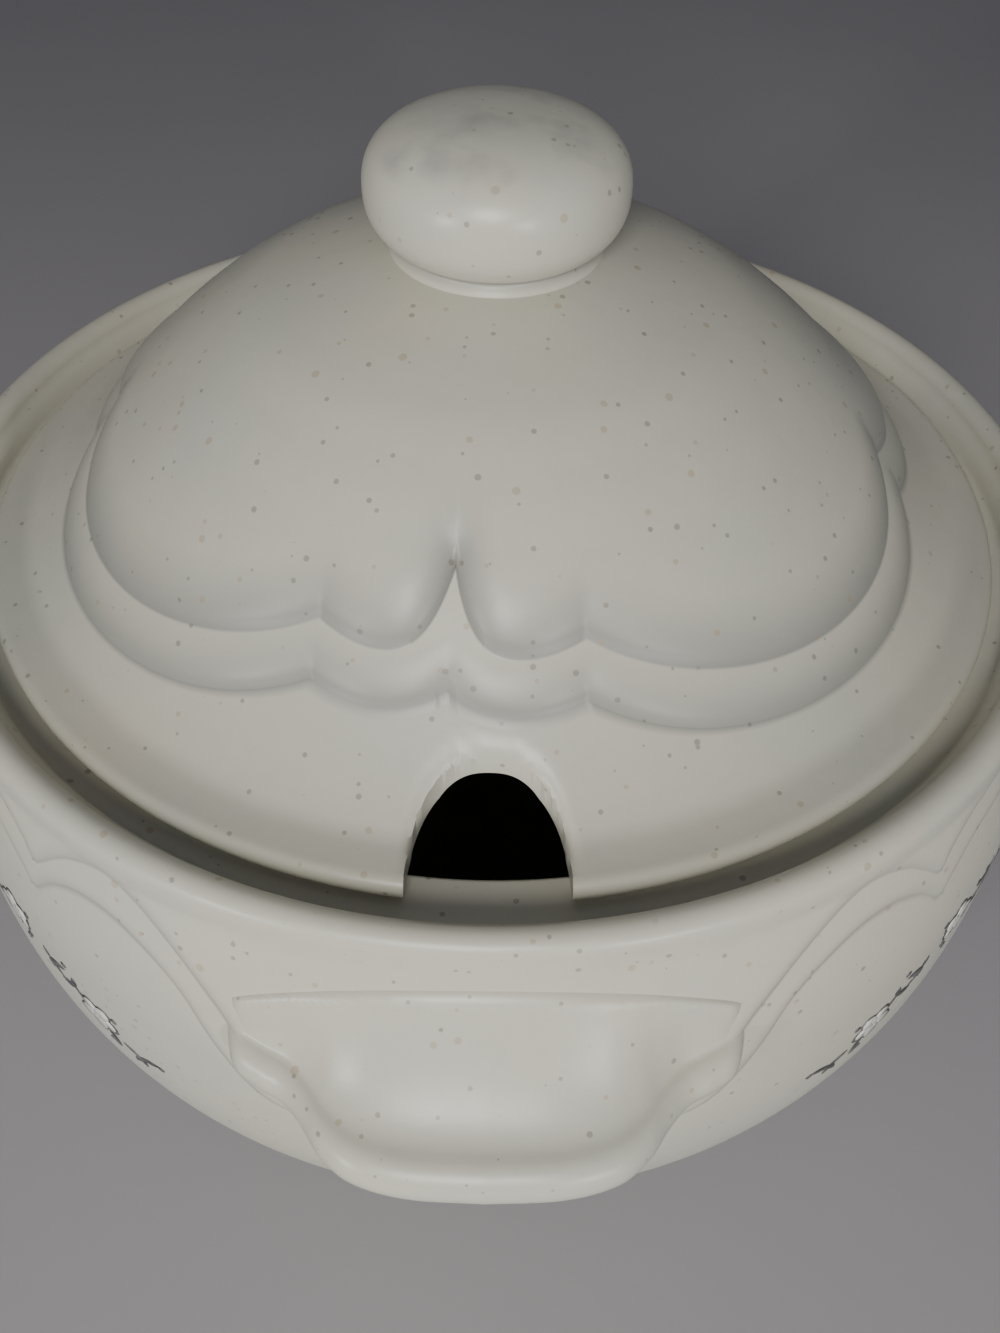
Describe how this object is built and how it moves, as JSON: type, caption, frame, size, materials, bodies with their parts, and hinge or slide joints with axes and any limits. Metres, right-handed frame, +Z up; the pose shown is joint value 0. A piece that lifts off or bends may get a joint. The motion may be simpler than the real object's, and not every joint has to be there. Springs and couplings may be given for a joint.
{
  "type": "lidded soup tureen",
  "caption": "Round glazed stoneware soup tureen with lug handles and a lift-off domed lid that has a ball knob and a notch for a ladle.",
  "frame": {"origin": "middle of the foot ring, on the table", "axes": "+Z up, the two lug handles along Y, the lid's ladle notch and the front handle towards -Y"},
  "size_m": [0.2482, 0.285, 0.21],
  "materials": {
    "speckled_glaze": "satin putty-grey glaze with fine specks, over stoneware"
  },
  "bodies": {
    "bowl": {"tureen_bowl": "speckled_glaze", "handle_front": "speckled_glaze", "handle_back": "speckled_glaze"},
    "lid": {"lid": "speckled_glaze", "lid_knob": "speckled_glaze"}
  },
  "joints": [
    {"name": "lid_lift", "type": "slide", "parent": "bowl", "child": "lid", "axis": [0, 0, 1], "range_m": [0, 0.12]}
  ]
}
